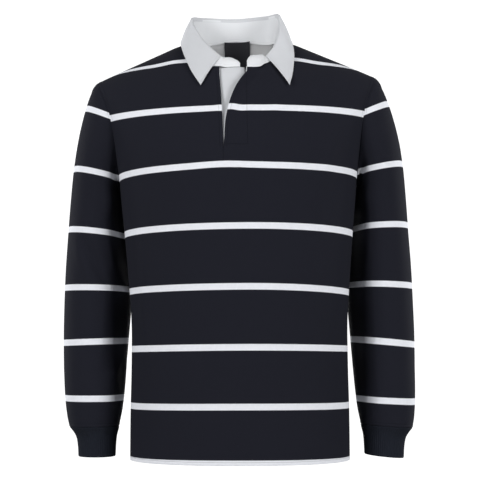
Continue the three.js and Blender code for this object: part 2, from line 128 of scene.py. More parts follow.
COLLAR = [  # angle round the neck from the back, crest x, y, z, outer edge x, y, z
    [-165.5, -27, -61, -36, -62.5, -98, -97],
    [-142, -52, -43, -8, -79, -76, -67],
    [-106, -72, -24, 25, -93, -47, -29],
    [-87, -79, -2, 52, -99, -4, 6],
    [-45, -58, 40, 64, -80, 60, 2],
    [0, 0, 58, 66, 0, 92, -2],
    [45, 58, 40, 65, 80, 60, 2],
    [87, 80, -2, 55, 99, -4, 6],
    [104, 80, -24, 22, 105, -43, -28],
    [127, 70, -43, -12, 101, -71, -67],
    [144.4, 53, -60, -38, 93, -97, -99],
]
FIRST, LAST = COLLAR[0][0], COLLAR[-1][0]
FOLD_RADIUS = 3.0
FALL_BULGE = 2.0
CLOTH_WALL = 1.5
TWILL_WALL = 1.3
TAB_END_X = 7.0

# The tops of the white stripes on the body, as heights along the cloth; they are woven in, so
# they lie level round the body and carry on over the shoulders.
BODY_STRIPES = [-741, -647, -547.5, -445.5, -343, -240, -136.8, -20]
YOKE_Z = -125.0
# On the sleeves: the height at the outer side, and how far the stripe drops towards the body
# for each millimetre across.
SLEEVE_STRIPES = {
    -1: [-637, -538, -438, -331, -220, -108.5],
    1: [-642.3, -544.3, -439.7, -330.5, -219.5, -109.5],
}
STRIPE_DROP = [  # height, drop on the right sleeve, on the left
    [-640, 0, 0],
    [-540, -0.03, -0.09],
    [-438, 0.03, -0.03],
    [-331, 0.14, 0.05],
    [-218, 0.28, 0.235],
    [-108, 0.48, 0.48],
]

# How much slimmer each finished sleeve is than its solid on the outer side: height, right, left.
SLIMMER = [
    [-748, 4, 0], [-693, 5, 1], [-640, 4.2, 3.2], [-590, 2.5, 4], [-470, 1.2, 4], [-350, 1, 3],
    [-290, 1.2, 1.5], [-235, 2, 0.5], [-190, 3, 0.5], [-150, 4, 2], [-112, 5, 4], [-86, 4, 4],
    [-70, 0, 0],
]

# Folds: soft ridges, or troughs where the height is negative. Columns: bottom z, top z, the line's
# place at the bottom and at the top, height, half width. The place is x on the front (-1) and the
# back (1). On the right (-1) and left (1) sleeves it is the angle in degrees round them: 0 on the
# outer side, 90 in front and 180 against the body.
BODY_FOLDS = {
    -1: [
        [-590, -300, -163, -172, 1.6, 7],
        [-580, -300, -178, -186, -1.6, 9],
        [-700, -430, 60, 40, 0.8, 30],
        [-640, -330, 150, 172, -1.0, 22],
        [-330, -150, 120, 190, 1.0, 9],
        [-360, -180, 136, 204, -1.2, 9],
        [-300, -140, -205, -150, -0.9, 12],
        [-720, -560, -95, -80, 0.8, 26],
        [-150, -30, -18, 62, -2.6, 9],
        [-160, -34, -42, 38, 3.2, 11],
        [-190, -60, 52, 88, 1.0, 12],
    ],
    1: [
        [-640, -250, -120, -95, 1.6, 14],
        [-600, -230, -86, -70, -1.5, 14],
        [-620, -280, 104, 118, 1.4, 16],
        [-560, -200, 70, 84, -1.4, 15],
        [-330, -120, 150, 200, -1.3, 13],
        [-350, -140, -205, -140, -1.3, 13],
        [-700, -450, 10, -8, 1.2, 30],
    ],
}
SLEEVE_FOLDS = {
    -1: [
        [-235, -130, 118, 96, 1.2, 10],
        [-345, -240, 112, 110, 1.8, 10],
        [-460, -345, 118, 66, -4.5, 10],
        [-450, -350, 92, 48, 2.0, 12],
        [-694, -600, 120, 108, 1.2, 14],
        [-420, -250, 225, 255, -3.0, 14],
        [-560, -380, 290, 262, -2.5, 16],
        [-600, -420, 250, 240, 1.8, 16],
    ],
    1: [
        [-300, -190, 146, 140, -5, 9],
        [-660, -220, 92, 96, 1.8, 15],
        [-694, -610, 64, 84, -1.2, 14],
        [-450, -250, 240, 228, -3.0, 14],
        [-590, -400, 262, 292, -2.4, 16],
        [-640, -430, 236, 246, 1.8, 16],
    ],
}
BODY_FADE, SLEEVE_FADE = 1.2, 0.9  # the power by which a fold fades towards its ends
SEAM_FADE = 14.0  # folds die out this close to a seam

# Tucks beside the body: bottom z, top z, the angle at the bottom and at the top of the line that
# the cloth falls back from, depth, width of the step in degrees.
SLEEVE_TUCKS = {
    -1: [
        [-262, -110, 146, 112, 16, 40],
        [-372, -212, 130, 130, 24, 22],
        [-480, -315, 150, 124, 24, 34],
        [-600, -410, 128, 132, 24, 50],
        [-680, -540, 148, 146, 18, 26],
        [-694, -600, 140, 138, 13, 26],
    ],
    1: [
        [-345, -100, 132, 128, 18, 34],
        [-500, -225, 130, 134, 28, 38],
        [-670, -380, 132, 130, 28, 46],
        [-694, -590, 136, 134, 14, 26],
    ],
}

# Each piece's node, and the flat size and area of the cloth that shows.
SHEETS = {
    "front_jersey": ("body_front", (560, 800), 372000),
    "back_jersey": ("body_back", (560, 800), 372000),
    "right_sleeve_jersey": ("sleeve_right", (440, 640), 218000),
    "left_sleeve_jersey": ("sleeve_left", (440, 640), 218000),
    "right_cuff_knit": ("cuff_right", (230, 56), 12500),
    "left_cuff_knit": ("cuff_left", (230, 56), 12500),
    "collar_band_twill": ("collar_stand", (440, 46), 15500),
    "collar_leaf_twill": ("collar_fall", (440, 95), 33500),
    "placket_under_twill": ("placket_under", (46, 200), 8700),
    "placket_facing_twill": ("placket_facing", (13, 160), 1950),
    "neck_patch_twill": ("neck_patch", (130, 75), 7300),
    "neck_label_tape": ("neck_label", (50, 57), 2850),
}

# Name, place, aim, width, height, share of the key light's power. A light of no size is the
# narrow spot that reaches into the neck.
LIGHTS = [
    ("key", (-2.7, -2.4, 0.6), (0, 0, -0.35), 1.4, 2.0, 1.0),
    ("fill", (2.7, -2.4, 0.2), (0, 0, -0.4), 1.4, 2.0, 0.92),
    ("neck", (0.0, -2.0, -0.4), (-0.002, 0.06, 0.024), 0, 0, 0.2),
    ("side_right", (-2.6, 1.5, 0.0), (0, 0, -0.4), 1.0, 2.0, 0.4),
    ("side_left", (2.6, 1.5, 0.0), (0, 0, -0.4), 1.0, 2.0, 0.4),
    ("behind", (0.0, 3.0, 0.5), (0, 0, -0.4), 2.4, 2.4, 0.7),
]
SPOT_DEGREES = 3.6
CAMERA_PLACE = (0, -2.0, -0.5492)
CAMERA_TILT = 5.4  # degrees above level


# ---- settings ----
def colour_setting(name, description, default):
    return FloatVectorProperty(
        name=name, description=description, default=default, size=3, min=0, max=1, subtype="COLOR"
    )


def linear(hexadecimal):
    """An sRGB hex colour as linear red, green and blue."""
    parts = [int(hexadecimal[i : i + 2], 16) / 255 for i in (0, 2, 4)]
    return tuple(c / 12.92 if c <= 0.04045 else ((c + 0.055) / 1.055) ** 2.4 for c in parts)


class ShirtCloth(PropertyGroup):
    wall: FloatProperty(
        name="Cloth thickness", description="Thickness of the body's cloth, in millimetres",
        default=1.2, min=0.4, max=2.0,
    )
    stripe: FloatProperty(
        name="Stripe width", description="Width of a white stripe, in millimetres",
        default=11.0, min=2.0, max=40.0,
    )
    wale: FloatProperty(
        name="Knit spacing", description="Distance between the knit's ribs, in millimetres",
        default=1.4, min=0.5, max=4.0,
    )
    ground: colour_setting("Ground", "Colour of the body's cloth", linear("1d1e26"))
    band: colour_setting("Stripes", "Colour of the stripes", linear("e6e8ee"))


class ShirtTrim(PropertyGroup):
    twill: colour_setting("Twill", "Colour of the collar and placket", linear("d0d2d6"))
    # The band is the same twill as the collar's leaf, painted lighter: painted light where the inside
    # of the neck faces the lamps.
    twill_painted_light: colour_setting("Painted light twill", "Colour of the twill inside the neck", linear("e3e5e8"))
    rib: colour_setting("Rib", "Colour of the cuffs", linear("1e2129"))
    label: colour_setting("Label", "Colour of the neck label", linear("47474c"))
    ribs: FloatProperty(
        name="Rib spacing", description="Distance between the cuffs' ribs, in millimetres",
        default=3.2, min=1.5, max=8.0,
    )


class ShirtStage(PropertyGroup):
    backdrop: colour_setting("Backdrop", "Colour of the floor and backdrop", linear("8c8c8c"))
    glow: FloatProperty(
        name="Backdrop glow", description="Brightness of the evenly lit backdrop", default=1.0, min=0
    )
    key: FloatProperty(
        name="Key light", description="Power of the front light, in watts", default=98.0, min=0
    )
    lens: FloatProperty(
        name="Lens", description="Camera lens, in millimetres", default=83.3, min=20, max=300
    )


# ---- numbers ----
def mix(a, b, w):
    """From a to b by the share w."""
    return a + (b - a) * w


def ease(w):
    """A smooth step from 0 to 1: three w squared minus two w cubed."""
    w = np.clip(w, 0, 1)
    return w * w * (3 - 2 * w)


def power(v, e):
    """A power that keeps its number's sign."""
    return np.sign(v) * np.abs(v) ** e


def hump(v, middle, width):
    """A bell curve, 1 at its middle."""
    return np.exp(-(((v - middle) / width) ** 2))


def unit(v):
    """Vectors at length one."""
    return v / np.maximum(np.linalg.norm(v, axis=-1, keepdims=True), 1e-9)


def vector(x, y, z):
    """Points from three arrays of any shapes that fit together."""
    return np.stack(np.broadcast_arrays(x, y, z), axis=-1).astype(float)


def through(rows, at):
    """A smooth curve through a table's rows: between two rows it is the cubic that meets both and
    leaves each with the slope between its neighbours."""
    rows = np.asarray(rows, float)
    last = len(rows) - 1
    at = np.clip(at, 0, last - 1e-6)
    i = np.floor(at).astype(int)
    w = (at - i)[..., None]
    a, b, c, d = (rows[np.clip(i + k, 0, last)] for k in (-1, 0, 1, 2))
    m, n, e = (c - a) / 2, (d - b) / 2, c - b
    return b + w * (m + w * (3 * e - 2 * m - n + w * (m + n - 2 * e)))


def turning(past, low, high, shape=()):
    """The value between low and high where a rising test turns true, by halving."""
    a, b = np.full(shape, float(low)), np.full(shape, float(high))
    for _ in range(36):
        middle = (a + b) / 2
        yes = past(middle)
        a, b = np.where(yes, a, middle), np.where(yes, middle, b)
    return (a + b) / 2


def leaned(p):
    """The whole shirt leans to its wearer's right, more towards the shoulders."""
    x, y, z = p[..., 0], p[..., 1], p[..., 2]
    high = np.maximum(0, (z - HEM_Z) / -HEM_Z)
    return vector(x - 0.5 * LEAN * high * (z - HEM_Z), y, z + LEAN * high * x)


# ---- the body's surface ----
def ridge_z(x):
    """The shoulder seam's height, filled out a little between the collar and the sleeves."""
    return RIDGE_Z - SHOULDER_SLOPE * np.hypot(x, RIDGE_BLEND) + 4.2 * ease((np.abs(x) - 72) / 45)


def fullness(facing, x, key):
    """The power by which a panel's depth falls, or its height grows, over the chest."""
    middle, side = (FRONT_ROUND if facing < 0 else BACK_ROUND)[key]
    return 2 / mix(middle, side, (x / SHOULDER_X) ** 2)


def half_width(level):
    """Half the body's width at a level: -1 at the hem, 0 under the arms, 1 at the shoulder ridge."""
    up = np.clip(level, 0, 1) * math.pi / 2
    low = through(RINGS, (np.minimum(level, 0) + 1) * (len(RINGS) - 1))[..., 0]
    return np.where(level <= 0, low, UNDERARM_X + SHOULDER_SPREAD * np.sin(up) ** 1.2)


def rim_angle(level):
    """The ring angle where the armhole cuts the body: a right angle below the underarm."""
    near = np.sin(np.clip(level * 2, 0, 1) * math.pi / 2)
    depth = ARMHOLE_DEPTH * np.sqrt(near)
    return np.where(level <= 0, math.pi / 2, np.arccos(np.clip(depth ** (SQUARE / 2), 0, 1)))


def across(angle):
    """The side, from -1 to 1, at an angle round the body's rounded ring."""
    return power(np.sin(angle), 2 / SQUARE)


def angle_of(side):
    """The angle round the ring of a side: the reverse of the above."""
    return np.arcsin(np.clip(power(side, SQUARE / 2), -1, 1))


def body_point(facing, side, level):
    """A point of the front (facing -1) or back (1). Below the underarms the section is a rounded
    ring; above them its depth falls with the cosine and its height grows with the sine of the
    level, each to a power, up to the shoulder ridge. Side runs from -1 to 1 across."""
    side, level = np.broadcast_arrays(np.asarray(side, float), np.asarray(level, float))
    depth = (1 - np.minimum(1, np.abs(side)) ** SQUARE) ** (1 / SQUARE)
    ring = through(RINGS, (np.minimum(level, 0) + 1) * (len(RINGS) - 1))
    reach = ring[..., 1] if facing < 0 else ring[..., 2]
    x = half_width(level) * side
    turn = np.clip(level, 0, 1) * math.pi / 2
    left = np.maximum(0, np.cos(turn)) ** fullness(facing, x, "depth")
    high = np.sin(turn) ** fullness(facing, x, "height")
    y = SHOULDER_Y * (1 - left) + facing * reach * depth * left
    z = UNDERARM_Z + (ridge_z(x) - UNDERARM_Z) * high
    return vector(x, np.where(level <= 0, facing * reach * depth, y),
                  np.where(level <= 0, mix(HEM_Z, UNDERARM_Z, level + 1), z))


def inner_way(facing, side, level):
    """The direction from the body's surface towards its inside."""
    small = 0.004
    p = body_point(facing, side, level)
    wide = body_point(facing, side + small, level) - p
    low = body_point(facing, side, level - small) - p
    return unit(np.cross(wide, low)) * -facing


def place_at(x, y):
    """The side and level of the body's surface at a place in plan, above the underarms."""
    x, y = np.broadcast_arrays(np.asarray(x, float), np.asarray(y, float))
    front = y < SHOULDER_Y

    def side_at(level):
        return np.clip(x / half_width(level), -1, 1)

    def past(level):
        side = side_at(level)
        ahead = body_point(-1, side, level)[..., 1] - y
        behind = body_point(1, side, level)[..., 1] - y
        return np.where(front, ahead > 0, behind < 0)

    level = turning(past, 0.001, 1, x.shape)
    return side_at(level), level


def neck_plan(angle):
    """The neck hole seen from above: a rounded oblong, 0 degrees at the back."""
    a = np.radians(angle)
    return (NECK_HALF * power(np.sin(a), 2 / NECK_SQUARE),
            NECK_Y + NECK_REACH * power(np.cos(a), 2 / NECK_SQUARE))


def neck_angle(x, y):
    """The angle round the neck hole of a place in plan."""
    return np.degrees(np.arctan2(power(x / NECK_HALF, NECK_SQUARE / 2),
                                 power((y - NECK_Y) / NECK_REACH, NECK_SQUARE / 2)))


def in_front_at(x):
    """The angle round the neck hole of the place at x on its front."""
    turn = np.degrees(np.arcsin(np.clip(np.abs(x) / NECK_HALF, 0, 1) ** (NECK_SQUARE / 2)))
    return np.sign(x) * (180 - turn)


CORNER_X = NECK_HALF * (1 - ((SHOULDER_Y - NECK_Y) / NECK_REACH) ** NECK_SQUARE) ** (1 / NECK_SQUARE)
CORNER = float(neck_angle(CORNER_X, SHOULDER_Y))


def opening(z):
    """The share of the slit's length at a height, 0 at its foot."""
    return np.clip((z - SLIT_Z) / SLIT_LENGTH, 0, 1)


def slit_left(z):
    """The x of the slit's edge on the wearer's right, falling off with the square of the way up."""
    return SLIT_X - SLIT_LEFT * opening(z) ** 2


def slit_right(z):
    """The x of the flap's edge: a narrow gap low down, and a curve that opens towards the neck."""
    gap = 2.2 * ease(opening(z) / 0.15) * (1 - opening(z))
    return SLIT_X + SLIT_RIGHT * opening(z) ** 2.6 + gap


def flap_lift(x, z):
    """How far the flap stands off the chest, most at its free corner."""
    near = np.clip(1 - (x - slit_right(z)) / FLAP_REACH, 0, 1)
    return FLAP_LIFT * opening(z) * ease(near)


SLIT_LEVEL = float(turning(lambda v: body_point(-1, 0, v)[..., 2] > SLIT_Z, 0, 1))
RIM_X = float(half_width(1.0) * across(rim_angle(np.float64(1.0))))


def cloth_height_table():
    """How far up the flat cloth each place of the body is: its height as far as the yoke line, and
    above that the height of the line and the length of the surface's profile at that distance out."""
    xs = np.linspace(0, 276, 70)
    levels = np.linspace(0, 1, 400)
    found = {}
    for facing in (-1, 1):
        side = np.clip(xs[None, :] / half_width(levels)[:, None], 0, 1)
        p = body_point(facing, side, levels[:, None])
        step = np.linalg.norm(np.diff(p, axis=0), axis=-1)
        run = np.vstack([np.zeros(len(xs)), np.cumsum(step, axis=0)])
        line = [np.interp(YOKE_Z, p[:, i, 2], run[:, i]) for i in range(len(xs))]
        found[facing] = np.where(p[..., 2] < YOKE_Z, p[..., 2], YOKE_Z + run - line)
    return xs, levels, found


HEIGHT_XS, HEIGHT_LEVELS, HEIGHTS = cloth_height_table()


def cloth_height(facing, side, level):
    """The height along the cloth at a side and level, read between the table's entries, with the
    stripes' dips: up at the shoulders, down at the sides and by the foot of the slit."""
    side, level = np.broadcast_arrays(side, level)
    x = np.abs(side) * half_width(level)
    i = np.clip(x / HEIGHT_XS[-1] * (len(HEIGHT_XS) - 1), 0, len(HEIGHT_XS) - 1.001)
    j = np.clip(level, 0, 1) * (len(HEIGHT_LEVELS) - 1) * 0.99999
    a, b = i.astype(int), j.astype(int)
    u, v = i - a, j - b
    t = HEIGHTS[facing]
    high = mix(mix(t[b, a], t[b, a + 1], u), mix(t[b + 1, a], t[b + 1, a + 1], u), v)
    high = np.where(level <= 0, mix(HEM_Z, UNDERARM_Z, level + 1), high)
    shoulder = 6.0 * ease((x - 105) / 50) * ease((high - YOKE_Z) / 60)
    out = (x / 190) ** 2 * ease((YOKE_Z - high) / 60)
    middle = 2.4 * hump(side * half_width(level), -25, 50) * hump(high, -245, 30) * (facing < 0)
    return high + shoulder - middle + out * np.where(side > 0, 2 + 4.5 * hump(high, -440, 110), 2.2)


def from_stripe(height, tops, width):
    """Distance from the middle of the nearest stripe."""
    return np.abs(height[..., None] - (np.asarray(tops, float) - width / 2)).min(axis=-1)


# ---- meshes ----
def grid_quads(rows, columns, round_=False, flip=False):
    """The quads of a grid numbered row by row, faces towards the side from which columns run to
    the right and rows up."""
    j, i = np.mgrid[0 : rows - 1, 0 : columns if round_ else columns - 1]
    k = (i + 1) % columns
    low, high = j * columns, (j + 1) * columns
    quads = np.stack([low + i, low + k, high + k, high + i], -1).reshape(-1, 4)
    return quads[:, ::-1] if flip else quads


def lengths_along(p, axis):
    """Running length of a grid's lines, from their first point."""
    step = np.linalg.norm(np.diff(p, axis=axis), axis=-1)
    start = np.zeros_like(np.take(step, [0], axis))
    return np.concatenate([start, np.cumsum(step, axis=axis)], axis)


def edge_distance(p, sides):
    """Each grid point's distance to the nearest of the edges named in sides: l, r, b or t."""
    far = np.full(p.shape[:2], 1e3)
    u, v = lengths_along(p, 1), lengths_along(p, 0)
    options = {"l": u, "r": u[:, -1:] - u, "b": v, "t": v[-1:] - v}
    for side in sides:
        far = np.minimum(far, options[side])
    return far


def surface_normals(points, quads):
    """Each point's normal: the sum of its quads' crossed diagonals."""
    a, b, c, d = (points[quads[:, k]] for k in range(4))
    n = np.cross(c - a, d - b)
    total = np.zeros_like(points)
    for k in range(4):
        np.add.at(total, quads[:, k], n)
    return unit(total)


def put_mesh(name, points, quads, marks, uv, material):
    """A mesh object from points in millimetres, with named numbers and a UV map at its points."""
    mesh = bpy.data.meshes.new(name)
    mesh.vertices.add(len(points))
    mesh.vertices.foreach_set("co", (points * MM).astype(np.float32).ravel())
    mesh.loops.add(quads.size)
    mesh.loops.foreach_set("vertex_index", quads.astype(np.int32).ravel())
    mesh.polygons.add(len(quads))
    mesh.polygons.foreach_set("loop_start", np.arange(0, quads.size, 4, dtype=np.int32))
    mesh.update(calc_edges=True)
    mesh.polygons.foreach_set("use_smooth", np.ones(len(quads), bool))
    layer = mesh.uv_layers.new(name="cloth")
    layer.data.foreach_set("uv", uv[quads.ravel()].astype(np.float32).ravel())
    for key, values in marks.items():
        mesh.attributes.new(key, "FLOAT", "POINT").data.foreach_set("value", values.astype(np.float32))
    mesh.materials.append(material)
    mesh.validate()
    piece = bpy.data.objects.new(name, mesh)
    bpy.context.scene.collection.objects.link(piece)
    return piece


def cloth(name, points, quads, edge, uv, material, wall, marks=None):
    """A closed shell of one wall thickness under a surface. Near an open edge both faces draw
    together along a quarter circle, so that the edge is rounded, and a strip closes it. It stands
    for its own CAD node, which it hides."""
    used = np.unique(quads)
    renumber = np.zeros(len(points), int)
    renumber[used] = np.arange(len(used))
    points, edge, uv = points[used], edge[used], uv[used]
    marks = {key: values[used] for key, values in (marks or {}).items()}
    quads = renumber[quads]
    normals = surface_normals(points, quads)
    near = np.clip(edge / (0.6 * wall), 0, 1)
    thick = wall * np.clip(np.sqrt(np.maximum(0, 1 - (1 - near) ** 2)), 0.2, 1)[:, None]
    top = points - normals * (wall - thick) / 2
    under = top - normals * thick
    size = len(points)
    sides = np.concatenate([quads[:, [k, (k + 1) % 4]] for k in range(4)])
    keys = sides[:, 0] * size + sides[:, 1]
    back = sides[:, 1] * size + sides[:, 0]
    open_ = sides[~np.isin(keys, back)]
    strip = np.stack([open_[:, 1], open_[:, 0], open_[:, 0] + size, open_[:, 1] + size], -1)
    faces = np.concatenate([quads, quads[:, ::-1] + size, strip])
    both = leaned(np.concatenate([top, under]))
    marks = {key: np.concatenate([v, v]) for key, v in marks.items()}
    marks["edge"] = np.concatenate([edge, edge])
    piece = put_mesh(name, both, faces, marks, np.concatenate([uv, uv]), material)
    node, flat, area = SHEETS[name]
    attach(piece, "root")
    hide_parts(node)


def grid_piece(name, p, across_, material, wall, relief=None, along=None, sides="lrbt", hand=0,
               marks=None, flip=False):
    """A piece of cloth from one grid of points, its relief along its normal, and its cloth map:
    across_ by the running length up the grid, or by along. With a hand, it is a tube for that
    side, made from points for the left one."""
    quads = grid_quads(*p.shape[:2], round_=hand != 0, flip=flip)
    points = p.reshape(-1, 3) if relief is None else relieved(p, quads, relief)
    if hand:
        points = for_hand(hand, points)
    if hand < 0:
        quads = quads[:, ::-1]
    along = lengths_along(p, 0) if along is None else along
    uv = np.stack([np.broadcast_to(across_, p.shape[:2]), along], -1).reshape(-1, 2) * MM
    cloth(name, points, quads, edge_distance(p, sides).ravel(), uv, material, wall, marks)


def fine_ends(n, length, first=True, last=True):
    """Even places from 0 to 1 along a length in millimetres, with extra ones close to its ends."""
    places = np.linspace(0, 1, n)
    extra = np.array([0.15, 0.35, 0.8]) / length
    parts = [places]
    if first:
        parts.append(extra)
    if last:
        parts.append(1 - extra)
    return np.unique(np.concatenate(parts))


# ---- materials ----
def add_node(tree, kind, links=None, inputs=None, **settings):
    """Adds a node: links name the sockets that feed its inputs, inputs are their plain values."""
    node = tree.nodes.new(kind)
    for key, value in settings.items():
        setattr(node, key, value)
    for key, value in (inputs or {}).items():
        node.inputs[key].default_value = value
    for key, socket in (links or {}).items():
        tree.links.new(socket, node.inputs[key])
    return node


def maths(tree, operation, *values):
    """A Math node's output; each value is a socket or a number."""
    node = add_node(tree, "ShaderNodeMath", operation=operation)
    for i, value in enumerate(values):
        if isinstance(value, (int, float)):
            node.inputs[i].default_value = value
        else:
            tree.links.new(value, node.inputs[i])
    return node.outputs[0]


def new_material(name):
    """A material with nothing but its shader and output; returns it, its tree and the shader."""
    material = bpy.data.materials.new(name)
    material.use_nodes = True
    tree = material.node_tree
    tree.nodes.clear()
    out = add_node(tree, "ShaderNodeOutputMaterial")
    shader = add_node(tree, "ShaderNodeBsdfPrincipled")
    tree.links.new(shader.outputs[0], out.inputs["Surface"])
    return material, tree, shader


def cloth_material(name, roughness, sheen=0.02):
    """A matt material with a little sheen and hardly any mirror shine."""
    material, tree, shader = new_material(name)
    shader.inputs["Roughness"].default_value = roughness
    shader.inputs["Sheen Weight"].default_value = sheen
    shader.inputs["Sheen Roughness"].default_value = 0.5
    shader.inputs["Specular IOR Level"].default_value = 0.06
    return material, tree, shader


def mark(tree, name):
    """The number that the mesh carries under a name."""
    return add_node(tree, "ShaderNodeAttribute", attribute_name=name).outputs["Fac"]


def threads(tree, across_mm, along_mm):
    """The cloth map in units of one thread each way: returns its two numbers."""
    uv = add_node(tree, "ShaderNodeUVMap", uv_map="cloth")
    parts = add_node(tree, "ShaderNodeSeparateXYZ", links={0: uv.outputs[0]})
    return (maths(tree, "DIVIDE", parts.outputs[0], across_mm * MM),
            maths(tree, "DIVIDE", parts.outputs[1], along_mm * MM))


def ripple(tree, value):
    """A smooth wave from 0 to 1, one for each whole number."""
    wave = maths(tree, "COSINE", maths(tree, "MULTIPLY", value, 2 * math.pi))
    return maths(tree, "MULTIPLY_ADD", wave, -0.5, 0.5)


def weave(tree, across_mm, along_mm):
    """Bumps in rows and columns: the product of a wave each way."""
    warp, weft = threads(tree, across_mm, along_mm)
    return maths(tree, "MULTIPLY", ripple(tree, warp), ripple(tree, weft))


def stitch_line(tree, distance, at, width):
    """1 on a line of stitching that keeps a distance from the edge, and 0 beside it."""
    off = maths(tree, "ABSOLUTE", maths(tree, "SUBTRACT", distance, at))
    near = maths(tree, "SMOOTH_MIN", maths(tree, "DIVIDE", off, width), 1.0, 0.2)
    return maths(tree, "SUBTRACT", 1.0, near)


def outside(tree, value, low, high):
    """How far a value lies outside a range; it is negative inside."""
    return maths(tree, "MAXIMUM", maths(tree, "SUBTRACT", low, value),
                 maths(tree, "SUBTRACT", value, high))


def placket_stitching(tree):
    """1 on the placket's rows of stitching: one down the flap, one across its foot, and the closed
    end of the slit below it. Each is a box of the cloth map with a soft edge."""
    x, height = threads(tree, 1.0, 1.0)
    # from x, to x, from height, to height, half width of the soft edge
    rows = [
        (FLAP_ROW_X, FLAP_ROW_X, FLAP_ROW_FOOT, FLAP_ROW_TOP, 0.8),
        (SLIT_X, FLAP_ROW_X, FLAP_ROW_FOOT, FLAP_ROW_FOOT, 0.8),
        (SLIT_X, SLIT_X, SLIT_Z - 24, SLIT_Z + 18, 1.3),
    ]
    drawn = 0.0
    for x0, x1, z0, z1, soft in rows:
        far = maths(tree, "MAXIMUM", outside(tree, x, x0, x1), outside(tree, height, z0, z1))
        line = maths(tree, "SUBTRACT", 1.0, maths(tree, "DIVIDE", far, soft))
        drawn = maths(tree, "MAXIMUM", drawn, line)
    return maths(tree, "MINIMUM", drawn, 1.0)


def mottled(tree, colour, size_mm, amount):
    """The colour a little lighter and darker in soft spots of one size; returns the spots too."""
    place = add_node(tree, "ShaderNodeTexCoord")
    noise = add_node(tree, "ShaderNodeTexNoise", links={"Vector": place.outputs["Object"]},
                     inputs={"Scale": 1 / (size_mm * MM), "Detail": 3.0})
    level = maths(tree, "MULTIPLY_ADD", noise.outputs[0], 2 * amount, 1 - amount)
    tint = add_node(tree, "ShaderNodeVectorMath", operation="SCALE", links={"Scale": level})
    if isinstance(colour, bpy.types.NodeSocket):
        tree.links.new(colour, tint.inputs[0])
    else:
        tint.inputs[0].default_value = tuple(colour)[:3]
    return tint.outputs[0], noise.outputs[0]


def finished(tree, shader, colour, height, depth_mm, seam=None, dark=0.0):
    """Feeds the shader its colour and the bump of its relief. The stitching is sunk and darker."""
    if seam is not None:
        level = maths(tree, "MULTIPLY_ADD", seam, -dark, 1.0)
        colour = add_node(tree, "ShaderNodeVectorMath", operation="SCALE",
                          links={0: colour, "Scale": level}).outputs[0]
        height = maths(tree, "MULTIPLY_ADD", seam, -2.0, height)
    tree.links.new(colour, shader.inputs["Base Color"])
    bump = add_node(tree, "ShaderNodeBump", links={"Height": height},
                    inputs={"Strength": 1.0, "Distance": depth_mm * MM})
    tree.links.new(bump.outputs[0], shader.inputs["Normal"])


def jersey(name, placket=False):
    """Cotton jersey, weft-knitted with woven-in stripes: a soft, matt face of fine upright ribs,
    a little sheen at grazing angles, and faint mottling where the yarn takes the dye unevenly.
    Real wales are about 1 mm apart; they are drawn slightly coarser so that they show."""
    settings = bpy.context.scene.shirt_cloth
    material, tree, shader = cloth_material(name, 0.85)
    half, soft = settings.stripe / 2, 0.5
    band = add_node(tree, "ShaderNodeMapRange", interpolation_type="SMOOTHSTEP",
                    links={"Value": mark(tree, "stripe")},
                    inputs={"From Min": half - soft, "From Max": half + soft,
                            "To Min": 1.0, "To Max": 0.0}).outputs[0]
    colour = add_node(tree, "ShaderNodeMix", data_type="RGBA", links={0: band},
                      inputs={6: (*settings.ground, 1), 7: (*settings.band, 1)}).outputs[2]
    wale, course = threads(tree, settings.wale, settings.wale * 0.8)
    courses = maths(tree, "MULTIPLY_ADD", ripple(tree, course), 0.4, 0.6)
    knit = maths(tree, "MULTIPLY", ripple(tree, wale), courses)
    seam = stitch_line(tree, mark(tree, "edge"), 5.5, 0.7)
    if placket:
        seam = maths(tree, "MAXIMUM", seam, placket_stitching(tree))
    finished(tree, shader, mottled(tree, colour, 5.0, 0.06)[0], knit, 0.16, seam, 0.3)
    return material


def twill(name, colour):
    """Cotton twill, bleached and pressed: close diagonal ribs and a fairly smooth matt face, with
    one row of stitching along its edges. Its 0.6 mm ribs are drawn at 1.1 mm so that they show."""
    material, tree, shader = cloth_material(name, 0.8)
    warp, weft = threads(tree, 1.1, 1.1)
    ribs = ripple(tree, maths(tree, "ADD", warp, weft))
    tinted, soft = mottled(tree, colour, 14.0, 0.025)
    seam = stitch_line(tree, mark(tree, "edge"), 5.0, 0.8)
    height = maths(tree, "MULTIPLY_ADD", soft, 3.0, ribs)
    finished(tree, shader, tinted, height, 0.1, seam, 0.07)
    return material


def ribbing(name, colour):
    """Two-by-two rib knit: stretchy upright ribs, softer and a little hairier than the jersey."""
    material, tree, shader = cloth_material(name, 0.9)
    finished(tree, shader, mottled(tree, colour, 4.0, 0.08)[0], weave(tree, 1.0, 1.3), 0.15)
    return material


def woven_tape(name, colour):
    """Woven polyester label: a dense, slightly satin cross weave, left plain."""
    material, tree, shader = cloth_material(name, 0.55, 0.05)
    finished(tree, shader, mottled(tree, colour, 3.0, 0.05)[0], weave(tree, 0.8, 0.8), 0.08)
    return material


# ---- body ----
def panel_levels(top):
    """Levels of a panel's rows: hem to underarm, to the slit's foot, and to each column's top. Also
    returns the row at the slit's foot."""
    slit_rows = 14
    low = fine_ends(120, 492, last=False) - 1
    middle = SLIT_LEVEL * (np.arange(1, slit_rows + 1) / slit_rows) ** 1.6
    high = fine_ends(62, 260, first=False)[1:]
    fixed = np.concatenate([low, middle])[:, None] + 0 * top
    return np.concatenate([fixed, mix(SLIT_LEVEL, top, high[:, None])]), len(fixed) - 1


def panel_sides(levels, tops_side, tops_level, angle_at):
    """Each column's side at each level: an even share of the ring's angle, bent towards its top's
    own place with the square of the height."""
    shift = angle_of(tops_side) - angle_at(tops_level)
    bend = np.clip(levels / tops_level[None, :], 0, 1) ** 2
    return across(angle_at(levels) + shift[None, :] * bend)


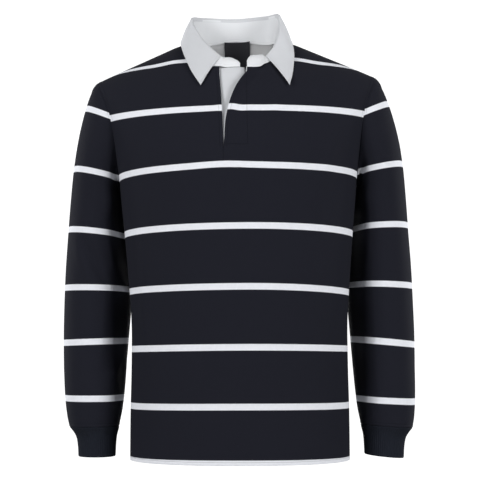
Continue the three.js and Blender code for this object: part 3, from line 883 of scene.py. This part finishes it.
def column_tops(t, hand, stops):
    """The top places of columns at t, 0 at the armhole to 1 at the last stop: half of them along
    the shoulder seam and the rest round the neck. Returns sides and levels."""
    seam_x = mix(RIM_X, CORNER_X, np.clip(t / stops[0][0], 0, 1))
    angle = np.interp(t, [s[0] for s in stops], [s[1] for s in stops])
    x, y = neck_plan(hand * angle)
    side, level = place_at(x, y)
    on_seam = t <= stops[0][0]
    side = np.where(on_seam, hand * seam_x / half_width(1.0), side)
    return side, np.where(on_seam, 1.0, level)


def folds(rows, place, z, fade):
    """Soft relief, in millimetres: each fold is a bell curve about a leaning line, fading towards
    its ends with the sine of the way up it, to a power."""
    total = 0.0
    for low, high, start, end, tall, wide in rows:
        s = np.clip((z - low) / (high - low), 0, 1)
        total = total + tall * np.sin(np.pi * s) ** fade * hump(place, mix(start, end, s), wide)
    return total


def panel_surface(facing, side, level, flap=False):
    """The panel's points: the body's surface, a hair outside it, with the flap standing off."""
    p = body_point(facing, side, level)
    p[..., 1] += facing * 0.05
    if flap:
        p[..., 1] -= flap_lift(p[..., 0], p[..., 2])
    return p


def relieved(p, quads, relief):
    """The points moved along the surface's normal by the relief."""
    flat = p.reshape(-1, 3)
    return flat + surface_normals(flat, quads) * relief.reshape(-1, 1)


def edge_ridge(edge, at=3.2, tall=0.45):
    """The soft ridge of the turned-in seam allowance, one bell curve beside the edge."""
    return tall * hump(edge, at, 2.2)


def panel_piece(name, points, quads, edge, height, material):
    """A striped panel; its cloth map is x by the height along the cloth."""
    settings = bpy.context.scene.shirt_cloth
    stripe = from_stripe(height, BODY_STRIPES, settings.stripe)
    uv = np.stack([points[:, 0], height], -1) * MM
    cloth(name, points, quads, edge, uv, material, settings.wall, {"stripe": stripe})


def body_front():
    """The front: two grids of columns, each from an armhole's edge to the slit's, that share the
    column of points below the slit. The flap's free edge is wavy, and its stripe dips there."""
    points, edges, heights, quads, offset = [], [], [], [], 0
    t = fine_ends(92, 230)
    for hand, slit, last in ((-1, slit_left, 140.0), (1, slit_right, LAST)):
        stops = [(0.5, CORNER), (10 / 12, last), (1.0, abs(float(in_front_at(slit(0.0)))))]
        top_side, top_level = column_tops(t, hand, stops)
        levels, slit_row = panel_levels(top_level)

        def angle_at(v, hand=hand, slit=slit):
            middle_z = body_point(-1, 0 * v, v)[..., 2]
            edge = angle_of(slit(middle_z) / half_width(v))
            return mix(hand * rim_angle(v), edge, t**0.9)

        order = slice(None, None, -hand)
        sides = panel_sides(levels, top_side, top_level, angle_at)[:, order]
        levels = levels[:, order]
        p = panel_surface(-1, sides, levels, flap=hand > 0)
        x, z = p[..., 0], p[..., 2]
        outer, inner = ("l", "r") if hand < 0 else ("r", "l")
        free = np.where(z > SLIT_Z, edge_distance(p, inner), 1e3)
        seam = edge_distance(p, outer + "t")
        height = cloth_height(-1, sides, levels)
        relief = folds(BODY_FOLDS[-1], x, z, BODY_FADE) * ease(seam / SEAM_FADE) + edge_ridge(seam)
        if hand > 0:
            waves = opening(z) ** 0.7
            relief = relief + waves * 1.3 * hump(free, 9, 7) - waves * 1.6 * hump(free, 26, 9)
            height = height - 3.2 * opening(z + 30) * hump(x, slit_right(z) + 3, 13)
        grid = grid_quads(*x.shape)
        points.append(relieved(p, grid, relief))
        edges.append(np.minimum(edge_distance(p, outer + "bt"), free).ravel())
        heights.append(height.ravel())
        quads.append(grid + offset)
        offset += x.size
    columns = len(t)
    below = np.arange(slit_row + 1)
    shared = np.arange(offset)
    shared[offset // 2 + below * columns] = below * columns + columns - 1
    panel_piece("front_jersey", np.concatenate(points), shared[np.concatenate(quads)],
                np.concatenate(edges), np.concatenate(heights), jersey("jersey_front", placket=True))


def body_back():
    """The back: one grid of columns, from the wearer's left armhole round to the right one."""
    t = fine_ends(172, 460)
    side, level = column_tops(np.minimum(t, 1 - t) * 2, 1.0, [(0.5, CORNER), (1.0, 0.0)])
    side = side * np.where(t < 0.5, 1.0, -1.0)
    levels, _ = panel_levels(level)
    sides = panel_sides(levels, side, level, lambda v: mix(rim_angle(v), -rim_angle(v), t))
    p = panel_surface(1, sides, levels)
    seam = edge_distance(p, "lrt")
    creases = folds(BODY_FOLDS[1], p[..., 0], p[..., 2], BODY_FADE)
    quads = grid_quads(*sides.shape)
    points = relieved(p, quads, creases * ease(seam / SEAM_FADE) + edge_ridge(seam))
    panel_piece("back_jersey", points, quads, edge_distance(p, "lrbt").ravel(),
                cloth_height(1, sides, levels).ravel(), jersey("jersey_back"))


# ---- sleeves and cuffs ----
def ring_point(table, at, angle):
    """A point of a slanted, slightly squared ring: its width and slope run from the table's outer
    to its inner point with the angle's cosine, its depth with the sine."""
    row = through(table, at)
    c = power(np.cos(angle), 2 / 2.1)
    s = power(np.sin(angle), 2 / 2.1)
    w = (1 + c) / 2
    return vector(mix(row[..., 2], row[..., 0], w), row[..., 4] - row[..., 5] * s,
                  mix(row[..., 3], row[..., 1], w))


def slimmed(hand, angle, p):
    """The points drawn in on the outer side by that sleeve's amounts, and at the armpit towards
    the body, which the cloth there touches."""
    table = np.array(SLIMMER)
    cut = np.interp(p[..., 2], table[:, 0], table[:, 1 if hand < 0 else 2])
    closer = 4.5 * hump(p[..., 2], -288, 20)
    p[..., 0] -= cut * (1 + np.cos(angle)) / 2 + closer * (1 - np.cos(angle)) / 2
    return p


def for_hand(hand, p):
    """The points, made for the wearer's left, as those of the side asked for."""
    z = p[..., 2]
    low = np.maximum(0, CUFF_TILT_FROM - z) / (CUFF_TILT_FROM - HEM_Z)
    tilt = CUFF_TILT * low * (p[..., 0] - 262) if hand > 0 else 0
    return vector(hand * p[..., 0], p[..., 1], z + tilt)


def armhole_points(angle):
    """The armhole's edge at each angle round the sleeve, 0 at the shoulder and half a turn under
    the arm: the level is where the edge has fallen by the angle's cosine."""
    found = []
    for facing in (-1, 1):
        levels = np.linspace(0, 1, 900)
        side = across(rim_angle(levels))
        x = half_width(levels) * side
        fall = np.sin(levels * math.pi / 2) ** fullness(facing, x, "height")
        level = np.interp((1 + np.cos(angle)) / 2, fall, levels)
        found.append(body_point(facing, across(rim_angle(level)), level))
    return np.where((angle < math.pi)[:, None], found[0], found[1])


def sleeve_tuck(hand, turn, z):
    """How far the cloth beside the body falls back, in millimetres: a smooth step round the sleeve
    from a winding line, dying out again on the hidden side."""
    deepest = np.zeros(z.shape)
    for low, high, start, end, deep, wide in SLEEVE_TUCKS[hand]:
        s = np.clip((z - low) / (high - low), 0, 1)
        step = ease((turn - mix(start, end, s)) / wide + 0.5) * ease((245 - turn) / 60)
        deepest = np.maximum(deepest, deep * np.sin(np.pi * s) ** 0.6 * step)
    return deepest


def sleeve(name, hand):
    """A sleeve: rings from the armhole's edge to the cuff, with tucks and folds. Its stripes slope
    with the arm, from their height at the outer side."""
    settings = bpy.context.scene.shirt_cloth
    at, angle = np.meshgrid(fine_ends(176, 560) * (len(SLEEVE) - 1),
                            np.linspace(0, 2 * math.pi, 240, endpoint=False), indexing="ij")
    turn = np.degrees(angle)
    fade = (1 - ease(at / CAP_ROWS))[..., None]
    cap = armhole_points(angle[0]) - ring_point(SLEEVE, 0 * angle[0], angle[0])
    p = ring_point(SLEEVE, at, angle) + cap[None] * fade
    p[..., 0] += 0.3 * fade[..., 0]
    p = slimmed(hand, angle, p)
    p[..., 1] += sleeve_tuck(hand, turn, p[..., 2]) * ease(edge_distance(p, "bt") / 30)
    edge = edge_distance(p, "bt")
    x, z = p[..., 0], p[..., 2]
    relief = folds(SLEEVE_FOLDS[hand], turn, z, SLEEVE_FADE) * ease(edge / 22)
    relief = relief + edge_ridge(edge, at=2.5, tall=0.3)
    outer = np.interp(z, z[::-1, 0], x[::-1, 0])
    drops = np.array(STRIPE_DROP)
    level = z + np.interp(z, drops[:, 0], drops[:, 1 if hand < 0 else 2]) * (outer - x)
    if hand > 0:
        level = level - CUFF_TILT * 0.35 * np.maximum(0, -480 - z) / 270 * (x - 262)
    stripe = from_stripe(level, SLEEVE_STRIPES[hand], settings.stripe)
    grid_piece(name, p, lengths_along(p, 1), jersey(name.replace("sleeve", "jersey")),
               settings.wall, relief, level, "bt", hand, {"stripe": stripe.ravel()})


def cuff(name, hand):
    """A rib-knit cuff: a ring that narrows below its seam, its surface raised into even upright
    ribs by the square of a cosine round it."""
    trim = bpy.context.scene.shirt_trim
    count = int(round(200 / trim.ribs))
    at, angle = np.meshgrid(fine_ends(34, 54) * (len(CUFF) - 1),
                            np.linspace(0, 2 * math.pi, count * 8, endpoint=False), indexing="ij")
    p = slimmed(hand, angle, ring_point(CUFF, at, angle))
    edge = edge_distance(p, "bt")
    ribs = np.cos(angle * count / 2) ** 2
    relief = 0.55 * ribs * ease(edge / 4) + 0.25 * hump(edge, 1.6, 1.2)
    puckers = 0.6 * np.cos(9 * angle + 0.7) * ease(1 - np.abs(p[..., 2] + 700) / 14)
    grid_piece(name, p, lengths_along(p, 1), ribbing(name.replace("cuff", "rib"), trim.rib), 1.4,
               relief + puckers, p[..., 2], "bt", hand)


# ---- collar ----
def collar_row(angle):
    """The fold's crest, the fall's outer edge and the way out in plan, at an angle."""
    table = np.array(COLLAR, float)
    near = np.clip(angle, FIRST, LAST)
    row = through(table, np.interp(near, table[:, 0], np.arange(len(table))))
    top, edge = row[..., 1:4], row[..., 4:7]
    flat = edge - top
    return top, edge, unit(vector(flat[..., 0], flat[..., 1], 0))


def neck_edge(angle):
    """The seam between the body and the collar at an angle round the neck. On the flap it stands
    off with the flap."""
    x, y = neck_plan(angle)
    side, level = place_at(x, y)
    ahead = y < SHOULDER_Y
    p = np.where(ahead[..., None], body_point(-1, side, level), body_point(1, side, level))
    p[..., 1] -= flap_lift(p[..., 0], p[..., 2]) * (p[..., 0] > 0) * ahead
    return p


def collar_way_up(angle):
    """The way from the neck seam up to the crest."""
    top, _, out = collar_row(angle)
    return unit(top + out * (CLOTH_WALL - FOLD_RADIUS) - neck_edge(angle))


def collar_leaf():
    """The part of the collar that folds over: its section goes up inside the neck, round a half
    circle at the crest, and straight down outside with a slight bulge, for every angle."""
    angle = mix(FIRST, LAST, fine_ends(230, 420))
    top, edge, out = collar_row(angle)
    up = collar_way_up(angle)
    middle = top - up * FOLD_RADIUS
    leg_top = middle - out * FOLD_RADIUS
    leg = mix(leg_top - up * 5.2, leg_top, fine_ends(5, 6, last=False)[:, None, None])
    turn = np.linspace(0, math.pi, 13)[1:, None, None]
    fold = middle - out * FOLD_RADIUS * np.cos(turn) + up * FOLD_RADIUS * np.sin(turn)
    w = fine_ends(46, 75, first=False)[1:, None, None]
    fall = mix(middle + out * FOLD_RADIUS, edge, w) + out * FALL_BULGE * np.sin(w * math.pi)
    p = np.concatenate([leg, fold, fall])
    f = np.concatenate([np.zeros(len(leg) + len(fold)), w[:, 0, 0]])[:, None]
    roll = (1.2 * f**2 * hump(angle, -100, 25) - 1.0 * f * hump(angle, 118, 12)
            + 0.8 * f * hump(angle, -150, 10)
            + 0.5 * hump(edge_distance(p, "lrt"), 2.0, 1.8) * (f > 0.05))
    colour = bpy.context.scene.shirt_trim.twill
    grid_piece("collar_leaf_twill", p, angle * 1.15, twill("twill_collar", colour), TWILL_WALL, roll)


def collar_band():
    """The stand of the collar: a wall from the neck seam to the crest, wrapping past the front as
    the two short tabs, whose upper corners are round."""
    start = float(in_front_at(TAB_END_X)) - 360
    end = float(in_front_at(slit_right(0.0)))
    angle = mix(start, end, fine_ends(250, 400))
    x, y = neck_plan(angle)
    side, level = place_at(x, y)
    # past the slit's edge the right tab sinks to lie on the under strip
    fixed = -abs(float(in_front_at(float(slit_left(-60.0)))))
    tab = np.clip((fixed - angle) / 8, 0, 1)[:, None]
    ahead = inner_way(-1, side, level)
    base = mix(neck_edge(angle), body_point(-1, side, level) + ahead * UNDER_DEPTH, ease(tab))
    top, _, out = collar_row(angle)
    in_fall = np.clip(np.minimum(angle - (FIRST - 6), (LAST + 8) - angle) / 6, 0, 1)[:, None]
    full = top - out * (FOLD_RADIUS + 0.1)
    full = full - unit(full - base) * FOLD_RADIUS
    # round the back it stands on the panel's inner face
    inside = np.where((y < SHOULDER_Y)[:, None], ahead, inner_way(1, side, level))
    behind = ease((CORNER + 20 - np.abs(angle)) / 20)[:, None]
    base = base + (inside * 3.3 - unit(full - base) * 1.5) * behind
    ends = np.clip(np.minimum(end - angle, angle - start) / 7, 0, 1)[:, None]
    corner = np.sqrt(np.clip(1 - (1 - ends) ** 2, 0.12, 1))
    lobe = base + np.array([0, 14.5, 21.0]) * corner
    w = fine_ends(26, 40)[:, None, None]
    p = mix(base, mix(lobe, full, ease(in_fall)), w)
    p = p + 3.0 * np.sin(w * math.pi) * (1 - in_fall) * np.array([0, -0.8, 0.6])
    # the left tab rolls out over the flap's upper edge
    p = p + ease((angle[:, None] - (LAST + 3)) / 9) * (1 - w) ** 2 * np.array([0, -4.2, -4.5])
    creases = (0.9 * hump(angle, -62, 9) - 0.8 * hump(angle, -40, 9) + 0.8 * hump(angle, 44, 9)
               - 0.7 * hump(angle, 62, 9) + 0.6 * hump(angle, 5, 16)) * np.sin(w[..., 0] * math.pi)
    # The band takes the twill painted lighter than the leaf's: painted light on the inside of the
    # neck.
    colour = bpy.context.scene.shirt_trim.twill_painted_light
    grid_piece("collar_band_twill", p, angle * 1.1, twill("twill_band_painted_light", colour), TWILL_WALL, -creases)


# ---- placket, facing, patch and label ----
def under_patch(facing, side, level, depth):
    """The body's surface moved inwards."""
    return body_point(facing, side, level) + inner_way(facing, side, level) * depth


def placket_under():
    """The strip that shows in the opening: a patch of the chest's surface moved inwards, less so
    towards the slit's foot."""
    x = mix(UNDER_LEFT, UNDER_RIGHT, fine_ends(34, 46))
    foot = float(turning(lambda v: body_point(-1, 0, v)[..., 2] > PLACKET_FOOT_Z, 0, 1))
    _, top = place_at(*neck_plan(in_front_at(x)))
    level = mix(foot, top[None, :], fine_ends(110, 200)[:, None])
    side = x[None, :] / half_width(level)
    height = body_point(-1, side, level)[..., 2:]
    p = under_patch(-1, side, level, mix(1.8, UNDER_DEPTH, ease((height - SLIT_Z - 20) / 60)))
    w = np.linspace(0, 1, len(p))[:, None]
    waves = 0.7 * np.sin(9 * w + 0.6) * hump(x, 8, 16) * w
    colour = bpy.context.scene.shirt_trim.twill
    grid_piece("placket_under_twill", p, p[..., 0], twill("twill_placket", colour), TWILL_WALL, waves)


def placket_facing():
    """The white turning behind the flap's edge, showing as a thin line beside it: it follows the
    slit's edge, set back from the flap's inner face."""
    _, top = place_at(*neck_plan(in_front_at(slit_right(0.0))))
    v = mix(SLIT_LEVEL, float(top), fine_ends(110, 190) * 0.985)[:, None]
    z = body_point(-1, 0 * v, v)[..., 2]
    shows = 1.2 * ease(opening(z) / 0.15) + 0.5 * opening(z)
    x = slit_right(z) + mix(-shows, 11.0, np.linspace(0, 1, 12))
    p = body_point(-1, x / half_width(v), v)
    p[..., 1] -= flap_lift(x, z) - 1.5
    p = p + np.array([0, 0.85, -0.5]) * 0.7
    colour = bpy.context.scene.shirt_trim.twill
    grid_piece("placket_facing_twill", p, p[..., 0], twill("twill_facing", colour), 0.9)


def neck_patch():
    """The half moon inside the back of the neck: the back's surface moved inwards, with a bottom
    that drops by the root of one minus the square of the distance out."""
    c = np.linspace(-0.985, 0.985, 90)
    x, y = neck_plan(c * (CORNER - 9))
    _, top = place_at(x, y)
    w = fine_ends(40, 80)[:, None]
    hang = (1 - w) * np.sqrt(1 - (0.97 * c) ** 2)
    level = top - 0.004 - 0.4 * (top - SLIT_LEVEL) * hang
    side = x * (1 - 0.12 * (1 - w) ** 2) / half_width(level)
    p = under_patch(1, side, level, 2.7 + 5 * hang[..., None])
    grid_piece("neck_patch_twill", p, p[..., 0], twill("twill_patch", linear("f4f5f7")), 0.8,
               flip=True)


def neck_label():
    """A plain woven label on the patch: the same surface, moved a little further in."""
    x, z = np.meshgrid(mix(-22.0, 28.0, fine_ends(22, 50)), mix(-19.5, 23.5, fine_ends(20, 43)))

    def past(v):
        return body_point(1, x / half_width(v), v)[..., 2] > z

    level = turning(past, 0.05, 1, x.shape)
    p = under_patch(1, x / half_width(level), level, 4.4 + 5 * (1 - (z - z[0, 0]) / 43)[..., None])
    colour = bpy.context.scene.shirt_trim.label
    grid_piece("neck_label_tape", p, x, woven_tape("woven_label", colour), 0.7, along=z, flip=True)


# ---- stage ----
def stage():
    """A round studio: a pale floor whose rim curves up into a wall, soft area lights and the
    camera. The profile is a flat, a quarter circle and an upright, turned about the middle."""
    settings = bpy.context.scene.shirt_stage
    floor, flat, bend, wall = -1.45, 3.2, 1.4, 3.0
    turn = np.linspace(0, math.pi / 2, 17)
    r = np.concatenate([np.linspace(0.0005, flat, 8), flat + bend * np.sin(turn[1:]), [flat + bend]])
    z = np.concatenate([np.zeros(8), bend * (1 - np.cos(turn[1:])), [bend + wall]]) + floor
    a = np.linspace(0, 2 * math.pi, 96, endpoint=False)
    p = vector(r[:, None] * np.cos(a), r[:, None] * np.sin(a), z[:, None] + 0 * a).reshape(-1, 3)
    material, _, shader = new_material("painted_studio")
    shader.inputs["Roughness"].default_value = 0.9
    shader.inputs["Base Color"].default_value = (*settings.backdrop, 1)
    shader.inputs["Emission Color"].default_value = (1, 1, 1, 1)
    shader.inputs["Emission Strength"].default_value = settings.glow
    quads = grid_quads(len(r), len(a), round_=True)
    backdrop = put_mesh("studio", p / MM, quads, {}, p[:, :2], material)
    backdrop.visible_diffuse = backdrop.visible_glossy = backdrop.visible_shadow = False
    world = bpy.data.worlds.new("studio")
    world.use_nodes = True
    sky = world.node_tree.nodes["Background"]
    sky.inputs["Color"].default_value = (1, 1, 1, 1)
    sky.inputs["Strength"].default_value = 0.2
    bpy.context.scene.world = world
    for name, place, aim, wide, tall, share in LIGHTS:
        data = bpy.data.lights.new(name, "AREA" if wide else "SPOT")
        if wide:
            data.shape, data.size, data.size_y = "RECTANGLE", wide, tall
        else:
            data.spot_size = math.radians(SPOT_DEGREES)
            data.spot_blend, data.shadow_soft_size = 1.0, 0.04
        data.energy = settings.key * share
        lamp = bpy.data.objects.new(name, data)
        way = np.array(aim) - np.array(place)
        lamp.location = place
        tilt = math.acos(-way[2] / np.linalg.norm(way))
        lamp.rotation_euler = (tilt, 0, math.atan2(way[1], way[0]) - math.pi / 2)
        bpy.context.scene.collection.objects.link(lamp)
    data = bpy.data.cameras.new("camera")
    data.lens, data.sensor_width = settings.lens, 36
    camera = bpy.data.objects.new("camera", data)
    camera.location = CAMERA_PLACE
    camera.rotation_euler = (math.radians(90 + CAMERA_TILT), 0, 0)
    bpy.context.scene.collection.objects.link(camera)
    bpy.context.scene.camera = camera
    bpy.context.scene.view_settings.view_transform = "Standard"


# ---- operators ----
class ShirtBody(Operator):
    """Make the front and back panels"""

    bl_idname = "rugby_shirt.body"
    bl_label = "Body"

    def execute(self, context):
        body_front()
        body_back()
        return {"FINISHED"}


class ShirtSleeves(Operator):
    """Make both sleeves"""

    bl_idname = "rugby_shirt.sleeves"
    bl_label = "Sleeves"

    def execute(self, context):
        sleeve("right_sleeve_jersey", -1)
        sleeve("left_sleeve_jersey", 1)
        return {"FINISHED"}


class ShirtCuffs(Operator):
    """Make both rib-knit cuffs"""

    bl_idname = "rugby_shirt.cuffs"
    bl_label = "Cuffs"

    def execute(self, context):
        cuff("right_cuff_knit", -1)
        cuff("left_cuff_knit", 1)
        return {"FINISHED"}


class ShirtCollar(Operator):
    """Make the collar's band and leaf"""

    bl_idname = "rugby_shirt.collar"
    bl_label = "Collar"

    def execute(self, context):
        collar_band()
        collar_leaf()
        return {"FINISHED"}


class ShirtPlacket(Operator):
    """Make the placket's under strip and facing"""

    bl_idname = "rugby_shirt.placket"
    bl_label = "Placket"

    def execute(self, context):
        placket_under()
        placket_facing()
        return {"FINISHED"}


class ShirtNeck(Operator):
    """Make the neck patch and its plain label"""

    bl_idname = "rugby_shirt.neck"
    bl_label = "Neck patch and label"

    def execute(self, context):
        neck_patch()
        neck_label()
        return {"FINISHED"}


class ShirtStudio(Operator):
    """Make the floor, lights and camera"""

    bl_idname = "rugby_shirt.studio"
    bl_label = "Studio"

    def execute(self, context):
        stage()
        return {"FINISHED"}


OPERATORS = [ShirtBody, ShirtSleeves, ShirtCuffs, ShirtCollar, ShirtPlacket, ShirtNeck, ShirtStudio]


class ShirtPanel(Panel):
    """Lists the shirt's settings and its pieces"""

    bl_idname = "VIEW3D_PT_rugby_shirt"
    bl_label = "Rugby Shirt"
    bl_space_type = "VIEW_3D"
    bl_region_type = "UI"
    bl_category = "Rugby Shirt"

    def draw(self, context):
        scene = context.scene
        for group in (scene.shirt_cloth, scene.shirt_trim, scene.shirt_stage):
            box = self.layout.box()
            for key in group.__annotations__:
                box.prop(group, key)
        for operator in OPERATORS:
            self.layout.operator(operator.bl_idname)


GROUPS = {"shirt_cloth": ShirtCloth, "shirt_trim": ShirtTrim, "shirt_stage": ShirtStage}


def register():
    for kind in [*GROUPS.values(), *OPERATORS, ShirtPanel]:
        bpy.utils.register_class(kind)
    for name, kind in GROUPS.items():
        setattr(bpy.types.Scene, name, PointerProperty(type=kind))


def unregister():
    for name in GROUPS:
        delattr(bpy.types.Scene, name)
    for kind in reversed([*GROUPS.values(), *OPERATORS, ShirtPanel]):
        bpy.utils.unregister_class(kind)


def main():
    register()
    for operator in OPERATORS:
        group, name = operator.bl_idname.split(".")
        getattr(getattr(bpy.ops, group), name)()


if __name__ == "__main__":
    main()
